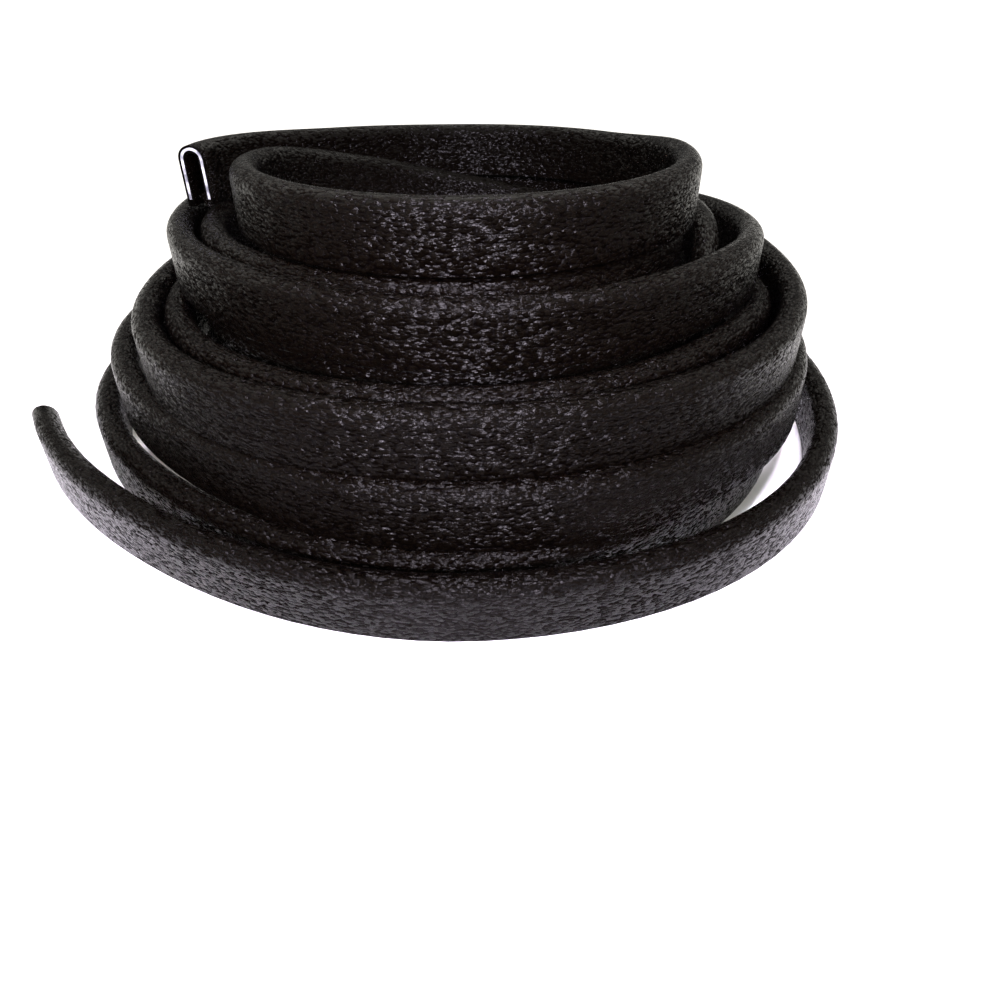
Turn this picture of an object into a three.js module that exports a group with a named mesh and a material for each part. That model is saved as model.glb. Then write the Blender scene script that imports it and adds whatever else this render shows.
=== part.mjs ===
import * as THREE from 'three';

// Edge trim seal: one length of U-shaped trim wound into a loose, stepped coil.
// Units are millimetres. Z is up and the coil's axis is the Z axis.
// The back of the U faces up and the open side of the U faces the floor.

// ---- section of the trim ----
// Overall height of the section, from its rounded back to the tips of its legs.
const SECTION_HEIGHT = 14;
// Overall width of the section, across both legs.
const SECTION_WIDTH = 6.4;
// Thickness of each leg, with the metal inside it.
const LEG_THICKNESS = 1.6;
// Thickness of the back, from its top to the ceiling of the channel.
const BACK_THICKNESS = 1.9;
// The back is a half round of this many flats.
const BACK_FLATS = 4;
// Chamfer on the outer corner of each leg tip.
const LEG_TIP_CHAMFER = 0.5;
// Size of the bevel in the two corners of the channel's ceiling.
const CHANNEL_CORNER_ACROSS = 0.8;
const CHANNEL_CORNER_DOWN = 1.5;
// The gripping lip on the inside of the leg that faces the coil's axis.
const LIP_REACH = 1.7;
const LIP_TIP_HEIGHT = 2.2;
const LIP_ROOT_HEIGHT = 2.9;

// ---- metal core inside the section ----
const CORE_THICKNESS = 0.6;
// Cover between the outside of the legs and the slot that holds the core.
const SKIN_THICKNESS = 0.5;
// The core's legs end this far above the leg tips.
const CORE_FOOT_HEIGHT = 1.2;
// Free play around the core in its slot.
const CORE_CLEARANCE = 0.05;
// The round of the core's back has this many flats.
const CORE_FLATS = 3;

// ---- winding ----
// Radius from the coil's axis to the middle of the trim at side place 0.
const COIL_RADIUS = 48;
// Gap kept between two turns that lie side by side.
const SIDE_GAP = 0.25;
// Gap kept between two turns that lie one on top of the other.
const LAYER_GAP = 0.3;
// Straight steps in one full turn of the path.
const STEPS_PER_TURN = 20;
// Where the bottom end of the strip is cut, in turns from the top end.
const TURNS = 8.96;

// Each turn runs clockwise, seen from above, and starts at the left (-X).
// across: side place at left, rear left, rear, rear right, right, front right,
// front, front left. One side place is one trim width plus SIDE_GAP.
// up: layer at the same eight directions. One layer is one trim height plus
// LAYER_GAP, and layer 0 stands on the floor.
const WINDING = [
  // 1: the top turn, from the cut end
  { across: [3.35, 1.25, 1.35, 1.05, 0.68, 1.10, 1.56, 1.60],
    up: [3.92, 3.73, 3.58, 3.64, 3.93, 4.03, 4.05, 4.04] },
  // 2: dips inside the top turn and comes out beneath it
  { across: [0.75, -0.25, -0.50, -0.50, 0.10, 0.96, 1.74, 2.23],
    up: [3.86, 3.3, 2.7, 2.42, 2.65, 3, 3, 3] },
  // 3: lies inside turn 5 at the right, then drops a layer
  { across: [2.77, 3.25, 2.86, 2.33, 1.80, 2.03, 2.59, 2.93],
    up: [2.9, 2.7, 2.7, 2.85, 2.85, 2, 2, 2] },
  // 4: inner turn of the third layer
  { across: [3.00, 3.01, 2.89, 3.16, 3.98, 4.03, 4.54, 4.71],
    up: [1.88, 1.65, 1.4, 1.3, 1.65, 2, 2, 2] },
  // 5: climbs back at the rear and is the outer turn of the second layer
  { across: [4.00, 4.29, 4.06, 4.17, 3.53, 3.16, 3.23, 3.25],
    up: [1.9, 1.72, 1.85, 2.35, 2.72, 3, 3, 3] },
  // 6: comes down at the rear and is the outer turn of the third layer
  { across: [4.06, 5.30, 5.23, 5.59, 5.15, 5.45, 5.56, 5.83],
    up: [2.93, 2.75, 2.68, 2.2, 2, 2, 2, 2] },
  // 7: the fourth layer
  { across: [5.06, 5.41, 5.56, 5.56, 5.56, 5.95, 6.12, 6.09],
    up: [1.93, 1.72, 1.6, 1.2, 1, 1, 1, 1] },
  // 8: inner turn on the floor
  { across: [6.98, 6.10, 5.30, 5.11, 5.04, 5.34, 6.42, 6.83],
    up: [1, 0.67, 0.55, 0.2, 0, 0, 0, 0] },
  // 9: outer turn on the floor
  { across: [8.33, 7.90, 7.22, 7.22, 7.05, 7.65, 7.68, 8.30],
    up: [0, 0, 0, 0, 0, 0, 0, 0] },
  // the free tail runs out towards these places and is cut before the first
  { across: [11.33, 14.90],
    up: [0, 0] },
];
const DIRECTIONS_PER_TURN = 8;

// Value of a driving list at a place between its entries, along a smooth curve.
function smoothValue(list, place) {
  const index = Math.floor(place);
  const t = place - index;
  const at = (k) => list[Math.min(Math.max(k, 0), list.length - 1)];
  const a = at(index - 1);
  const b = at(index);
  const c = at(index + 1);
  const d = at(index + 2);
  const slope = c - a;
  const bend = 2 * a - 5 * b + 4 * c - d;
  const twist = 3 * b - a - 3 * c + d;
  return (2 * b + slope * t + bend * t * t + twist * t * t * t) / 2;
}

// Value of a driving list between its entries, eased so that it never overshoots:
// the slope at an entry is level where the list turns back or stays.
function easedValue(list, place) {
  const entry = (index) => list[Math.min(Math.max(index, 0), list.length - 1)];
  const slope = (index) => {
    const before = entry(index) - entry(index - 1);
    const after = entry(index + 1) - entry(index);
    return before * after > 0 ? 2 * before * after / (before + after) : 0;
  };
  const index = Math.floor(place);
  const t = place - index;
  const eased = entry(index) + (entry(index + 1) - entry(index)) * t * t * (3 - 2 * t);
  return eased + slope(index) * t * (1 - t) ** 2 - slope(index + 1) * t * t * (1 - t);
}

// Stations along the path: angle, radius of the middle, height of the leg tips.
function windingStations() {
  const sidePitch = SECTION_WIDTH + SIDE_GAP;
  const layerPitch = SECTION_HEIGHT + LAYER_GAP;
  const across = WINDING.flatMap((turn) => turn.across);
  const up = WINDING.flatMap((turn) => turn.up);
  const places = [];
  for (let step = 0; step / STEPS_PER_TURN < TURNS; step += 1) {
    places.push(step / STEPS_PER_TURN);
  }
  places.push(TURNS);
  return places.map((turns) => ({
    angle: Math.PI * (1 - 2 * turns),
    radius: COIL_RADIUS + sidePitch * smoothValue(across, turns * DIRECTIONS_PER_TURN),
    height: layerPitch * easedValue(up, turns * DIRECTIONS_PER_TURN),
  }));
}

// Half round of the given radius over the section's back, from +X to -X.
function backArc(radius, flats) {
  const centre = SECTION_HEIGHT - SECTION_WIDTH / 2;
  const points = [];
  for (let k = 0; k <= flats; k += 1) {
    const turn = Math.PI * k / flats;
    points.push(new THREE.Vector2(radius * Math.cos(turn), centre + radius * Math.sin(turn)));
  }
  return points;
}

// Outline of the trim: x away from the coil's axis, y up from the leg tips.
function trimOutline() {
  const half = SECTION_WIDTH / 2;
  const channel = half - LEG_THICKNESS;
  const ceiling = SECTION_HEIGHT - BACK_THICKNESS;
  const points = [];
  const add = (x, y) => points.push(new THREE.Vector2(x, y));
  add(half - LEG_TIP_CHAMFER, 0);
  add(half, LEG_TIP_CHAMFER);
  points.push(...backArc(half, BACK_FLATS));
  add(-half, LEG_TIP_CHAMFER);
  add(-half + LEG_TIP_CHAMFER, 0);
  add(-channel, 0);
  add(-channel + LIP_REACH, LIP_TIP_HEIGHT);
  add(-channel, LIP_ROOT_HEIGHT);
  add(-channel, ceiling - CHANNEL_CORNER_DOWN);
  add(-channel + CHANNEL_CORNER_ACROSS, ceiling);
  add(channel - CHANNEL_CORNER_ACROSS, ceiling);
  add(channel, ceiling - CHANNEL_CORNER_DOWN);
  add(channel, 0);
  return points;
}

// U-shaped outline inside the wall, drawn in by the given amount on every side.
function coreOutline(inset) {
  const outer = SECTION_WIDTH / 2 - SKIN_THICKNESS - inset;
  const inner = outer - CORE_THICKNESS - 2 * (CORE_CLEARANCE - inset);
  const foot = CORE_FOOT_HEIGHT - CORE_CLEARANCE + inset;
  return [
    new THREE.Vector2(outer, foot),
    ...backArc(outer, CORE_FLATS),
    new THREE.Vector2(-outer, foot),
    new THREE.Vector2(-inner, foot),
    ...backArc(inner, CORE_FLATS).reverse(),
    new THREE.Vector2(inner, foot),
  ];
}

// Sweeps an outline, with an optional hole through it, along the stations.
// A hole's faces are split along the same diagonals as those of the core in it.
function sweep(stations, outline, hole) {
  const loops = hole ? [outline, [...hole].reverse()] : [outline];
  const section = loops.flat();
  const positions = [];
  for (const { angle, radius, height } of stations) {
    for (const point of section) {
      positions.push(
        (radius + point.x) * Math.cos(angle),
        (radius + point.x) * Math.sin(angle),
        height + point.y,
      );
    }
  }
  const indices = [];
  const size = section.length;
  for (let s = 0; s + 1 < stations.length; s += 1) {
    let first = 0;
    for (const loop of loops) {
      for (let k = 0; k < loop.length; k += 1) {
        const here = s * size + first + k;
        const next = s * size + first + (k + 1) % loop.length;
        if (loop === outline) {
          indices.push(here, next, next + size);
          indices.push(here, next + size, here + size);
        } else {
          indices.push(here, next, here + size);
          indices.push(next, next + size, here + size);
        }
      }
      first += loop.length;
    }
  }
  const last = (stations.length - 1) * size;
  for (const face of THREE.ShapeUtils.triangulateShape(loops[0], loops.slice(1))) {
    const flipped = THREE.ShapeUtils.isClockWise(face.map((k) => section[k]));
    const [a, b, c] = flipped ? [face[0], face[2], face[1]] : face;
    indices.push(last + a, last + b, last + c);
    indices.push(a, c, b);
  }
  const geometry = new THREE.BufferGeometry();
  geometry.setAttribute('position', new THREE.Float32BufferAttribute(positions, 3));
  geometry.setIndex(indices);
  return geometry;
}

function part(name, geometry, look) {
  geometry.computeVertexNormals();
  const mesh = new THREE.Mesh(geometry, new THREE.MeshStandardMaterial(look));
  mesh.name = name;
  return mesh;
}

const stations = windingStations();
const group = new THREE.Group();
group.name = 'edge_trim_coil';
group.add(part(
  'trim_profile',
  sweep(stations, trimOutline(), coreOutline(0)),
  { color: 0x17150f, roughness: 0.55, metalness: 0 },
));
group.add(part(
  'clamp_core',
  sweep(stations, coreOutline(CORE_CLEARANCE)),
  { color: 0xb9bcc0, roughness: 0.35, metalness: 1 },
));

// The origin is on the floor, under the middle of the coil with its tail.
const extent = new THREE.Box3().setFromObject(group);
group.position.x = -(extent.min.x + extent.max.x) / 2;
group.position.y = -(extent.min.y + extent.max.y) / 2;

export default group;
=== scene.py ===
"""A loose, stepped coil of black edge trim with a leather grain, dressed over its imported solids."""

import math

import bmesh
import bpy
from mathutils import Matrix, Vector


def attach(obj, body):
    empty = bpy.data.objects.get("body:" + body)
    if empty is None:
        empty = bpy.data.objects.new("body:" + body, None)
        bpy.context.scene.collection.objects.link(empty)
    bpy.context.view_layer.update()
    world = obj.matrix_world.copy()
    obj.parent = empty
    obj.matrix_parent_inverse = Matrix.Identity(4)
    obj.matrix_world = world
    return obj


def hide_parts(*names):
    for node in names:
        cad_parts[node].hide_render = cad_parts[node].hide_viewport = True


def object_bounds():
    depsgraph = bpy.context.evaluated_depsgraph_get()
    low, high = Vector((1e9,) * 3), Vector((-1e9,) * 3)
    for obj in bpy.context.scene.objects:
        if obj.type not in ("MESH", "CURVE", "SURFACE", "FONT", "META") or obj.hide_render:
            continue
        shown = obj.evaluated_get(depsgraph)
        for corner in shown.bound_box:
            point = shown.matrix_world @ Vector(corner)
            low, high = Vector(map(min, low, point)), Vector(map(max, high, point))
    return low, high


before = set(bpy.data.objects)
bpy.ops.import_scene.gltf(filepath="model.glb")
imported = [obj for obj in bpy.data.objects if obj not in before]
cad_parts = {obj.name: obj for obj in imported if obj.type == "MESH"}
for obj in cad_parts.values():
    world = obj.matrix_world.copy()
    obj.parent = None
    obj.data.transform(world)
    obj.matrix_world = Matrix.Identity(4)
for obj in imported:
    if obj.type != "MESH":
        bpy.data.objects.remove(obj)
SOLID_BOX = [list(corner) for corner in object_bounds()]

bl_info = {
    "name": "Edge trim coil",
    "version": (1, 0, 0),
    "blender": (4, 5, 0),
    "location": "3D View > Sidebar > Trim",
    "description": "Builds a coil of U-shaped edge trim with its metal core, and a studio around it",
    "category": "Object",
}

MM = 0.001
# Vertices closer together than this are one.
SEAM = 0.001 * MM
# Radius of the outer corner of each leg tip.
TIP_ROUND = 0.5 * MM
# Points of the section below this height belong to its leg tips.
TIP_HEIGHT = 0.6 * MM
# Extra points up each flank of the section, as shares of the flank's height.
FLANK_SHARES = (0.3, 0.6, 0.85)
# Flats in the half rounds over the section's back and over the core's.
BACK_FLATS = 14
CORE_FLATS = 10

# The winding, as in the part's source. Each turn starts at the left and runs
# clockwise seen from above: left, rear left, rear, rear right, right, front
# right, front, front left. The first list is the side place and the second is
# the layer at those eight directions.
WINDING = (
    ((3.35, 1.25, 1.35, 1.05, 0.68, 1.10, 1.56, 1.60), (3.92, 3.73, 3.58, 3.64, 3.93, 4.03, 4.05, 4.04)),
    ((0.75, -0.25, -0.50, -0.50, 0.10, 0.96, 1.74, 2.23), (3.86, 3.3, 2.7, 2.42, 2.65, 3, 3, 3)),
    ((2.77, 3.25, 2.86, 2.33, 1.80, 2.03, 2.59, 2.93), (2.9, 2.7, 2.7, 2.85, 2.85, 2, 2, 2)),
    ((3.00, 3.01, 2.89, 3.16, 3.98, 4.03, 4.54, 4.71), (1.88, 1.65, 1.4, 1.3, 1.65, 2, 2, 2)),
    ((4.00, 4.29, 4.06, 4.17, 3.53, 3.16, 3.23, 3.25), (1.9, 1.72, 1.85, 2.35, 2.72, 3, 3, 3)),
    ((4.06, 5.30, 5.23, 5.59, 5.15, 5.45, 5.56, 5.83), (2.93, 2.75, 2.68, 2.2, 2, 2, 2, 2)),
    ((5.06, 5.41, 5.56, 5.56, 5.56, 5.95, 6.12, 6.09), (1.93, 1.72, 1.6, 1.2, 1, 1, 1, 1)),
    ((6.98, 6.10, 5.30, 5.11, 5.04, 5.34, 6.42, 6.83), (1, 0.67, 0.55, 0.2, 0, 0, 0, 0)),
    ((8.33, 7.90, 7.22, 7.22, 7.05, 7.65, 7.68, 8.30), (0, 0, 0, 0, 0, 0, 0, 0)),
    ((11.33, 14.90), (0, 0)),
)
DIRECTIONS_PER_TURN = 8
TURNS = 8.96


class TrimSizes(bpy.types.PropertyGroup):
    """Sizes of the trim's section and of its winding."""

    section_height: bpy.props.FloatProperty(
        name="Section height", description="From the rounded back to the leg tips",
        default=14 * MM, unit="LENGTH")
    section_width: bpy.props.FloatProperty(
        name="Section width", description="Across both legs",
        default=6.4 * MM, unit="LENGTH")
    leg_thickness: bpy.props.FloatProperty(
        name="Leg thickness", description="One leg with the metal inside it",
        default=1.6 * MM, unit="LENGTH")
    back_thickness: bpy.props.FloatProperty(
        name="Back thickness", description="From the top of the back to the channel",
        default=1.9 * MM, unit="LENGTH")
    skin_thickness: bpy.props.FloatProperty(
        name="Skin", description="Cover between the outside of a leg and the metal",
        default=0.5 * MM, unit="LENGTH")
    core_thickness: bpy.props.FloatProperty(
        name="Core thickness", description="Sheet thickness of the metal core",
        default=0.6 * MM, unit="LENGTH")
    core_foot: bpy.props.FloatProperty(
        name="Core foot", description="Height of the core's legs above the leg tips",
        default=1.2 * MM, unit="LENGTH")
    core_play: bpy.props.FloatProperty(
        name="Core play", description="Free space around the core in its slot",
        default=0.05 * MM, unit="LENGTH")
    coil_radius: bpy.props.FloatProperty(
        name="Coil radius", description="To the middle of the trim at side place 0",
        default=48 * MM, unit="LENGTH")
    side_gap: bpy.props.FloatProperty(
        name="Side gap", description="Between turns that lie side by side",
        default=0.25 * MM, unit="LENGTH")
    layer_gap: bpy.props.FloatProperty(
        name="Layer gap", description="Between turns that lie on each other",
        default=0.3 * MM, unit="LENGTH")
    leg_settle: bpy.props.FloatProperty(
        name="Leg settle", description="How far the soft leg tips reach down onto the turn below",
        default=0.55 * MM, unit="LENGTH")
    steps_per_turn: bpy.props.IntProperty(
        name="Steps per turn", description="Stations along one turn of the strip",
        default=100, min=20, max=200)


class TrimFinish(bpy.types.PropertyGroup):
    """Colours and grain of the trim and its core."""

    skin_colour: bpy.props.StringProperty(
        name="Skin colour", description="sRGB hex colour of the vinyl", default="#060402")
    # Painted shade: the crease colour is darker than the skin and stands in for the shade that falls in
    # the grain's creases.
    crease_shade_colour: bpy.props.StringProperty(
        name="Painted crease shade", description="sRGB hex colour in the creases of the grain",
        default="#020101")
    metal_colour: bpy.props.StringProperty(
        name="Metal colour", description="sRGB hex colour of the bare metal edge",
        default="#D5D8DC")
    dull_metal: bpy.props.StringProperty(
        name="Dull metal", description="sRGB hex colour of the metal where the cut smeared it",
        default="#73757C")
    grain_length: bpy.props.FloatProperty(
        name="Grain length", description="Length of one pebble of the grain, along the strip",
        default=1.05 * MM, unit="LENGTH")
    grain_width: bpy.props.FloatProperty(
        name="Grain width", description="Width of one pebble of the grain, across the strip",
        default=0.55 * MM, unit="LENGTH")
    grain_depth: bpy.props.FloatProperty(
        name="Grain depth", description="Height of the grain's pebbles",
        default=0.16 * MM, unit="LENGTH")


class StudioSettings(bpy.types.PropertyGroup):
    """Camera and floor."""

    camera_distance: bpy.props.FloatProperty(
        name="Camera distance", description="Level distance from the coil's axis to the camera",
        default=205.1 * MM, unit="LENGTH")
    camera_height: bpy.props.FloatProperty(
        name="Camera height", description="Height of the camera above the floor",
        default=107.8 * MM, unit="LENGTH")
    camera_pitch: bpy.props.FloatProperty(
        name="Camera pitch", description="Angle by which the camera looks down",
        default=0.623, subtype="ANGLE")
    camera_yaw: bpy.props.FloatProperty(
        name="Camera yaw", description="Angle by which the camera looks to the right",
        default=0.033, subtype="ANGLE")
    lens: bpy.props.FloatProperty(
        name="Lens", description="Focal length on a 36 mm sensor",
        default=27.2, unit="CAMERA")
    fill: bpy.props.FloatProperty(
        name="Fill", description="Strength of the even light from all sides", default=0.08)
    floor_colour: bpy.props.StringProperty(
        name="Floor colour", description="sRGB hex colour of the floor", default="#F4F4F4")


# ---- helpers ----

def linear(hex_colour, alpha=1.0):
    """Turns an sRGB hex colour into linear values."""
    digits = hex_colour.lstrip("#")
    values = [int(digits[i:i + 2], 16) / 255 for i in (0, 2, 4)]
    return [v / 12.92 if v <= 0.04045 else ((v + 0.055) / 1.055) ** 2.4 for v in values] + [alpha]


def add_node(tree, kind, settings=None, inputs=None):
    """Adds a shader node, sets its properties and values, and links its inputs."""
    node = tree.nodes.new(kind)
    for key, value in (settings or {}).items():
        setattr(node, key, value)
    for key, value in (inputs or {}).items():
        if isinstance(value, bpy.types.NodeSocket):
            tree.links.new(value, node.inputs[key])
        else:
            node.inputs[key].default_value = value
    return node


def new_material(name):
    material = bpy.data.materials.new(name)
    material.use_nodes = True
    material.node_tree.nodes.clear()
    return material, material.node_tree


def smooth_value(values, place):
    """Value of a driving list between its entries, along a smooth curve."""
    index = math.floor(place)
    t = place - index
    a, b, c, d = (values[min(max(k, 0), len(values) - 1)] for k in range(index - 1, index + 3))
    slope = c - a
    bend = 2 * a - 5 * b + 4 * c - d
    twist = 3 * b - a - 3 * c + d
    return (2 * b + slope * t + bend * t * t + twist * t ** 3) / 2


def eased_value(values, place):
    """Value of a driving list between its entries, eased so that it never overshoots."""

    def entry(index):
        return values[min(max(index, 0), len(values) - 1)]

    def slope(index):
        before = entry(index) - entry(index - 1)
        after = entry(index + 1) - entry(index)
        return 2 * before * after / (before + after) if before * after > 0 else 0

    index = math.floor(place)
    t = place - index
    eased = entry(index) + (entry(index + 1) - entry(index)) * t * t * (3 - 2 * t)
    return eased + slope(index) * t * (1 - t) ** 2 - slope(index + 1) * t * t * (1 - t)


def winding_stations(sizes):
    """Angle, radius and height of the strip at each step along its path."""
    side_pitch = sizes.section_width + sizes.side_gap
    layer_pitch = sizes.section_height + sizes.layer_gap
    across = [value for turn in WINDING for value in turn[0]]
    up = [value for turn in WINDING for value in turn[1]]
    steps = math.floor(TURNS * sizes.steps_per_turn)
    places = [step / sizes.steps_per_turn for step in range(steps + 1)]
    if places[-1] < TURNS:
        places.append(TURNS)
    return [(
        math.pi * (1 - 2 * turns),
        sizes.coil_radius + side_pitch * smooth_value(across, turns * DIRECTIONS_PER_TURN),
        layer_pitch * eased_value(up, turns * DIRECTIONS_PER_TURN),
    ) for turns in places]


def coil_centre():
    """The coil's axis, from the strip's path: the frame's origin is under the middle of its box."""
    sizes = bpy.context.scene.trim_sizes
    half = sizes.section_width / 2
    outer = [(radius + half, angle) for angle, radius, _ in winding_stations(sizes)]
    xs = [r * math.cos(a) for r, a in outer]
    ys = [r * math.sin(a) for r, a in outer]
    low, high = (Vector(corner) for corner in SOLID_BOX)
    return Vector((high.x - max(xs), high.y - max(ys), 0))


def back_arc(radius, sizes, flats):
    """Half round over the section's back, from the outer side to the inner side."""
    centre = sizes.section_height - sizes.section_width / 2
    return [(radius * math.cos(math.pi * k / flats), centre + radius * math.sin(math.pi * k / flats))
            for k in range(flats + 1)]


def corner_round(x, y, radius, start, flats=3):
    """Quarter round about (x, y) that starts at an angle in degrees and turns left."""
    return [(x + radius * math.cos(math.radians(start + 90 * k / flats)),
             y + radius * math.sin(math.radians(start + 90 * k / flats))) for k in range(flats + 1)]


def trim_outline(sizes):
    """Section of the trim: x away from the coil's axis, y up from the leg tips."""
    half = sizes.section_width / 2
    channel = half - sizes.leg_thickness
    ceiling = sizes.section_height - sizes.back_thickness
    corner = 0.9 * MM
    lip_reach = 1.7 * MM
    lip_tip = 2.2 * MM
    lip_root = 2.9 * MM
    points = corner_round(half - TIP_ROUND, TIP_ROUND, TIP_ROUND, -90)
    flank = sizes.section_height - half
    points += [(half, share * flank) for share in FLANK_SHARES]
    points += back_arc(half, sizes, BACK_FLATS)
    points += [(-half, share * flank) for share in reversed(FLANK_SHARES)]
    points += corner_round(-half + TIP_ROUND, TIP_ROUND, TIP_ROUND, 180)
    points.append((-channel, 0))
    # The lip ends in a small blunt edge, drawn by three points.
    points.append((-channel + lip_reach - 0.15 * MM, lip_tip - 0.25 * MM))
    points.append((-channel + lip_reach, lip_tip))
    points.append((-channel + lip_reach - 0.2 * MM, lip_tip + 0.1 * MM))
    points.append((-channel, lip_root))
    points += reversed(corner_round(-channel + corner, ceiling - corner, corner, 90))
    points += reversed(corner_round(channel - corner, ceiling - corner, corner, 0))
    points.append((channel, 0))
    return points


def core_outline(sizes, inset):
    """Section of the metal core: its slot, drawn in by the inset on every side."""
    outer = sizes.section_width / 2 - sizes.skin_thickness - inset
    inner = outer - sizes.core_thickness - 2 * (sizes.core_play - inset)
    foot = sizes.core_foot - sizes.core_play + inset
    return ([(outer, foot)] + back_arc(outer, sizes, CORE_FLATS) + [(-outer, foot), (-inner, foot)]
            + back_arc(inner, sizes, CORE_FLATS)[::-1] + [(inner, foot)])


def sweep_section(name, loops, sizes, centre):
    """Wraps one sheet of faces around each loop of the section, along the winding, and caps the ends.

    The first loop is the outline and any other is a hole in it. Each vertex
    keeps its place on the strip, along it and around the section, for the grain.
    Above the floor the leg tips reach down onto the turn below.
    """
    stations = winding_stations(sizes)
    middles = [Vector((radius * math.cos(angle), radius * math.sin(angle), height))
               for angle, radius, height in stations]
    along = [0.0]
    for before, after in zip(middles, middles[1:]):
        along.append(along[-1] + (after - before).length)
    last = len(stations) - 1
    bm = bmesh.new()
    place = bm.verts.layers.float_vector.new("strip_place")
    for loop in loops:
        closed = loop + loop[:1]
        around = [0.0]
        for before, after in zip(closed, closed[1:]):
            around.append(around[-1] + math.dist(before, after))
        sheet = bmesh.ops.create_grid(bm, x_segments=last, y_segments=len(loop), size=1)
        for vert in sheet["verts"]:
            step = round((vert.co.x + 1) / 2 * last)
            corner = round((vert.co.y + 1) / 2 * len(loop))
            angle, radius, height = stations[step]
            x, y = closed[corner]
            if y < TIP_HEIGHT:
                y -= sizes.leg_settle * min(1, height / sizes.section_height)
            vert.co = (centre.x + (radius + x) * math.cos(angle),
                       centre.y + (radius + x) * math.sin(angle), height + y)
            vert[place] = (along[step], around[corner], 0)
    bmesh.ops.remove_doubles(bm, verts=bm.verts, dist=SEAM)
    for angle, radius, height in (stations[0], stations[-1]):
        across = Vector((-math.sin(angle), math.cos(angle), 0))
        foot = Vector((centre.x + radius * math.cos(angle), centre.y + radius * math.sin(angle), height))
        reach = sizes.section_width / 2 + sizes.section_height
        rim = [edge for edge in bm.edges if len(edge.link_faces) == 1 and all(
            abs((vert.co - foot).dot(across)) < SEAM and (vert.co - foot).length < reach
            for vert in edge.verts)]
        bmesh.ops.triangle_fill(bm, edges=rim, use_beauty=True)
    bmesh.ops.recalc_face_normals(bm, faces=bm.faces)
    for face in bm.faces:
        face.smooth = len(face.verts) == 4
    mesh = bpy.data.meshes.new(name)
    bm.to_mesh(mesh)
    bm.free()
    piece = bpy.data.objects.new(name, mesh)
    bpy.context.scene.collection.objects.link(piece)
    return piece


# ---- finishes ----

def grained_vinyl(finish):
    """Calendered PVC skin with an embossed leather grain.

    The black skin is satin: pebbles about a millimetre long catch the light
    one by one, and the creases between them stay dark, helped by painted shade: a darker colour laid
    into the creases.
    """
    material, tree = new_material("black_grained_vinyl")
    place = add_node(tree, "ShaderNodeAttribute", {"attribute_name": "strip_place"})
    stretched = add_node(tree, "ShaderNodeVectorMath", {"operation": "MULTIPLY"}, {
        0: place.outputs["Vector"], 1: (1 / finish.grain_length, 1 / finish.grain_width, 1)})
    bend = add_node(tree, "ShaderNodeTexNoise", None, {
        "Vector": stretched.outputs["Vector"], "Scale": 0.7, "Detail": 2.0, "Roughness": 0.5})
    bent = add_node(tree, "ShaderNodeVectorMath", {"operation": "MULTIPLY_ADD"}, {
        0: bend.outputs["Color"], 1: (0.8, 0.8, 0.8), 2: stretched.outputs["Vector"]})
    pebbles = add_node(tree, "ShaderNodeTexVoronoi", {"feature": "F1", "voronoi_dimensions": "2D"}, {
        "Vector": bent.outputs["Vector"], "Scale": 1.0, "Randomness": 0.9})
    fine = add_node(tree, "ShaderNodeTexNoise", None, {
        "Vector": bent.outputs["Vector"], "Scale": 3.2, "Detail": 3.0, "Roughness": 0.55})
    dome = add_node(tree, "ShaderNodeMapRange", {"interpolation_type": "SMOOTHSTEP"}, {
        "Value": pebbles.outputs["Distance"], "From Min": 0.75, "From Max": 0.2,
        "To Min": 0.0, "To Max": 0.5})
    # Each pebble's top leans its own way, so that some of them face the light.
    offset = add_node(tree, "ShaderNodeVectorMath", {"operation": "SUBTRACT"}, {
        0: bent.outputs["Vector"], 1: pebbles.outputs["Position"]})
    lean = add_node(tree, "ShaderNodeVectorMath", {"operation": "SUBTRACT"}, {
        0: pebbles.outputs["Color"], 1: (0.5, 0.5, 0.5)})
    slope = add_node(tree, "ShaderNodeVectorMath", {"operation": "DOT_PRODUCT"}, {
        0: offset.outputs["Vector"], 1: lean.outputs["Vector"]})
    top = add_node(tree, "ShaderNodeMath", {"operation": "MULTIPLY_ADD"}, {
        0: slope.outputs["Value"], 1: 3.8, 2: dome.outputs["Result"]})
    height = add_node(tree, "ShaderNodeMath", {"operation": "MULTIPLY_ADD"}, {
        0: fine.outputs["Fac"], 1: 0.35, 2: top.outputs["Value"]})
    bump = add_node(tree, "ShaderNodeBump", None, {
        "Height": height.outputs["Value"], "Distance": finish.grain_depth, "Strength": 1.0})
    # Painted shade: the colour darkens towards the crease colour where the pebbles fall away, in place
    # of the shade in the creases.
    colour = add_node(tree, "ShaderNodeMix", {"data_type": "RGBA"}, {
        0: dome.outputs["Result"], 6: linear(finish.crease_shade_colour), 7: linear(finish.skin_colour)})
    gloss = add_node(tree, "ShaderNodeMapRange", None, {
        "Value": dome.outputs["Result"], "From Min": 0.0, "From Max": 0.4,
        "To Min": 0.32, "To Max": 0.22})
    shader = add_node(tree, "ShaderNodeBsdfPrincipled", None, {
        "Base Color": colour.outputs[2], "Roughness": gloss.outputs["Result"],
        "IOR": 1.5, "Specular IOR Level": 0.045, "Normal": bump.outputs["Normal"]})
    add_node(tree, "ShaderNodeOutputMaterial", None, {"Surface": shader.outputs["BSDF"]})
    return material


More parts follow.
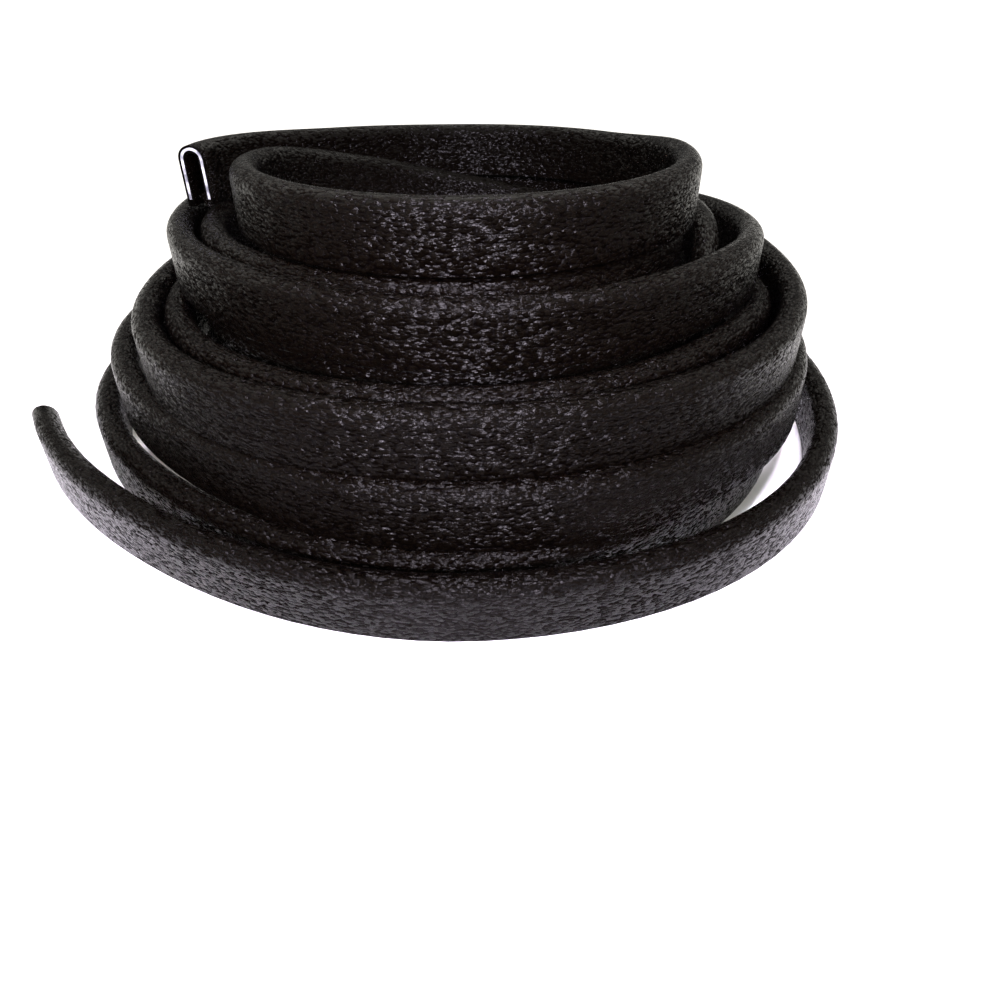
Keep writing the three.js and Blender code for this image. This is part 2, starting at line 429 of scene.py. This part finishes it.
def bare_metal(finish):
    """Rolled aluminium strip: bright where it is cut, and duller where the blade smeared it."""
    material, tree = new_material("rolled_aluminium")
    spot = add_node(tree, "ShaderNodeTexCoord")
    scratches = add_node(tree, "ShaderNodeTexNoise", None, {
        "Vector": spot.outputs["Object"], "Scale": 1 / (0.4 * MM), "Detail": 3.0})
    rough = add_node(tree, "ShaderNodeMapRange", None, {
        "Value": scratches.outputs["Fac"], "To Min": 0.35, "To Max": 0.7})
    stain = add_node(tree, "ShaderNodeTexNoise", None, {
        "Vector": spot.outputs["Object"], "Scale": 1 / (2.2 * MM), "Detail": 2.0})
    share = add_node(tree, "ShaderNodeMapRange", None, {
        "Value": stain.outputs["Fac"], "From Min": 0.35, "From Max": 0.65})
    tone = add_node(tree, "ShaderNodeMix", {"data_type": "RGBA"}, {
        0: share.outputs["Result"], 6: linear(finish.dull_metal), 7: linear(finish.metal_colour)})
    shader = add_node(tree, "ShaderNodeBsdfPrincipled", None, {
        "Base Color": tone.outputs[2], "Metallic": 1.0,
        "Roughness": rough.outputs["Result"]})
    add_node(tree, "ShaderNodeOutputMaterial", None, {"Surface": shader.outputs["BSDF"]})
    return material


def plain_surface(name, colour, roughness):
    material, tree = new_material(name)
    shader = add_node(tree, "ShaderNodeBsdfPrincipled", None, {
        "Base Color": linear(colour), "Roughness": roughness})
    add_node(tree, "ShaderNodeOutputMaterial", None, {"Surface": shader.outputs["BSDF"]})
    return material


# ---- operators ----

class TRIM_OT_profile(bpy.types.Operator):
    """Make the grained strip that the coil is wound from"""

    bl_idname = "trim.profile"
    bl_label = "Trim profile"

    def execute(self, context):
        sizes = context.scene.trim_sizes
        piece = sweep_section("grained_trim", [trim_outline(sizes), core_outline(sizes, 0)],
                              sizes, coil_centre())
        piece.data.materials.append(grained_vinyl(context.scene.trim_finish))
        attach(piece, "root")
        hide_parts("trim_profile")
        return {"FINISHED"}


class TRIM_OT_core(bpy.types.Operator):
    """Make the metal core inside the strip"""

    bl_idname = "trim.core"
    bl_label = "Metal core"

    def execute(self, context):
        sizes = context.scene.trim_sizes
        piece = sweep_section("metal_core", [core_outline(sizes, sizes.core_play)],
                              sizes, coil_centre())
        piece.data.materials.append(bare_metal(context.scene.trim_finish))
        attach(piece, "root")
        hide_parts("clamp_core")
        return {"FINISHED"}


class TRIM_OT_studio(bpy.types.Operator):
    """Make the floor, the lights and the camera"""

    bl_idname = "trim.studio"
    bl_label = "Studio"

    def execute(self, context):
        scene = context.scene
        studio = scene.trim_studio
        centre = coil_centre()

        bm = bmesh.new()
        bmesh.ops.create_grid(bm, x_segments=1, y_segments=1, size=3.0)
        mesh = bpy.data.meshes.new("floor")
        bm.to_mesh(mesh)
        bm.free()
        floor = bpy.data.objects.new("floor", mesh)
        scene.collection.objects.link(floor)
        floor.data.materials.append(plain_surface("matt_white_paper", studio.floor_colour, 0.9))

        world = bpy.data.worlds.new("studio")
        world.use_nodes = True
        tree = world.node_tree
        tree.nodes.clear()
        seen = add_node(tree, "ShaderNodeLightPath")
        level = add_node(tree, "ShaderNodeMapRange", None, {
            "Value": seen.outputs["Is Camera Ray"], "To Min": studio.fill, "To Max": 1.0})
        backdrop = add_node(tree, "ShaderNodeBackground", None, {
            "Color": linear("#FFFFFF"), "Strength": level.outputs["Result"]})
        add_node(tree, "ShaderNodeOutputWorld", None, {"Surface": backdrop.outputs["Background"]})
        scene.world = world
        scene.view_settings.view_transform = "Standard"

        def softbox(name, place, target, size, power, colour, spread):
            light = bpy.data.lights.new(name, "AREA")
            light.shape = "RECTANGLE"
            light.size, light.size_y = size
            light.energy = power
            light.color = linear(colour)[:3]
            light.spread = math.radians(spread)
            lamp = bpy.data.objects.new(name, light)
            lamp.location = place
            lamp.rotation_euler = (Vector(target) - Vector(place)).to_track_quat("-Z", "Y").to_euler()
            scene.collection.objects.link(lamp)

        # Grids on the two small lights keep most of their light on the coil.
        softbox("key_softbox", place=(0, -0.42, 0.20), target=(0, -0.06, 0.06), size=(0.07, 0.05),
                power=0.42, colour="#F6ECFF", spread=38)
        softbox("crown_softbox", place=(0, -0.16, 0.45), target=(0, -0.07, 0.05), size=(0.22, 0.03),
                power=0.27, colour="#F6ECFF", spread=30)
        softbox("top_softbox", place=(0, 1.0, 1.6), target=(0, 1.0, 0), size=(7, 7),
                power=245, colour="#FFFCF4", spread=180)

        camera = bpy.data.cameras.new("camera")
        camera.sensor_width = 36
        camera.lens = studio.lens
        camera.clip_start = 0.01
        eye = bpy.data.objects.new("camera", camera)
        eye.location = (centre.x, centre.y - studio.camera_distance, studio.camera_height)
        eye.rotation_euler = (math.pi / 2 - studio.camera_pitch, 0, -studio.camera_yaw)
        scene.collection.objects.link(eye)
        scene.camera = eye
        return {"FINISHED"}


class TRIM_PT_panel(bpy.types.Panel):
    """Lists what the coil is made of"""

    bl_idname = "TRIM_PT_panel"
    bl_label = "Edge trim coil"
    bl_space_type = "VIEW_3D"
    bl_region_type = "UI"
    bl_category = "Trim"

    def draw(self, context):
        for group in (context.scene.trim_sizes, context.scene.trim_finish, context.scene.trim_studio):
            box = self.layout.box()
            for name in group.__annotations__:
                box.prop(group, name)
        for operator in (TRIM_OT_profile, TRIM_OT_core, TRIM_OT_studio):
            self.layout.operator(operator.bl_idname)


CLASSES = (TrimSizes, TrimFinish, StudioSettings, TRIM_OT_profile, TRIM_OT_core, TRIM_OT_studio,
           TRIM_PT_panel)


def register():
    for cls in CLASSES:
        bpy.utils.register_class(cls)
    bpy.types.Scene.trim_sizes = bpy.props.PointerProperty(type=TrimSizes)
    bpy.types.Scene.trim_finish = bpy.props.PointerProperty(type=TrimFinish)
    bpy.types.Scene.trim_studio = bpy.props.PointerProperty(type=StudioSettings)


def unregister():
    del bpy.types.Scene.trim_studio
    del bpy.types.Scene.trim_finish
    del bpy.types.Scene.trim_sizes
    for cls in reversed(CLASSES):
        bpy.utils.unregister_class(cls)


def main():
    register()
    bpy.ops.trim.profile()
    bpy.ops.trim.core()
    bpy.ops.trim.studio()
    bpy.context.view_layer.update()


if __name__ == "__main__":
    main()
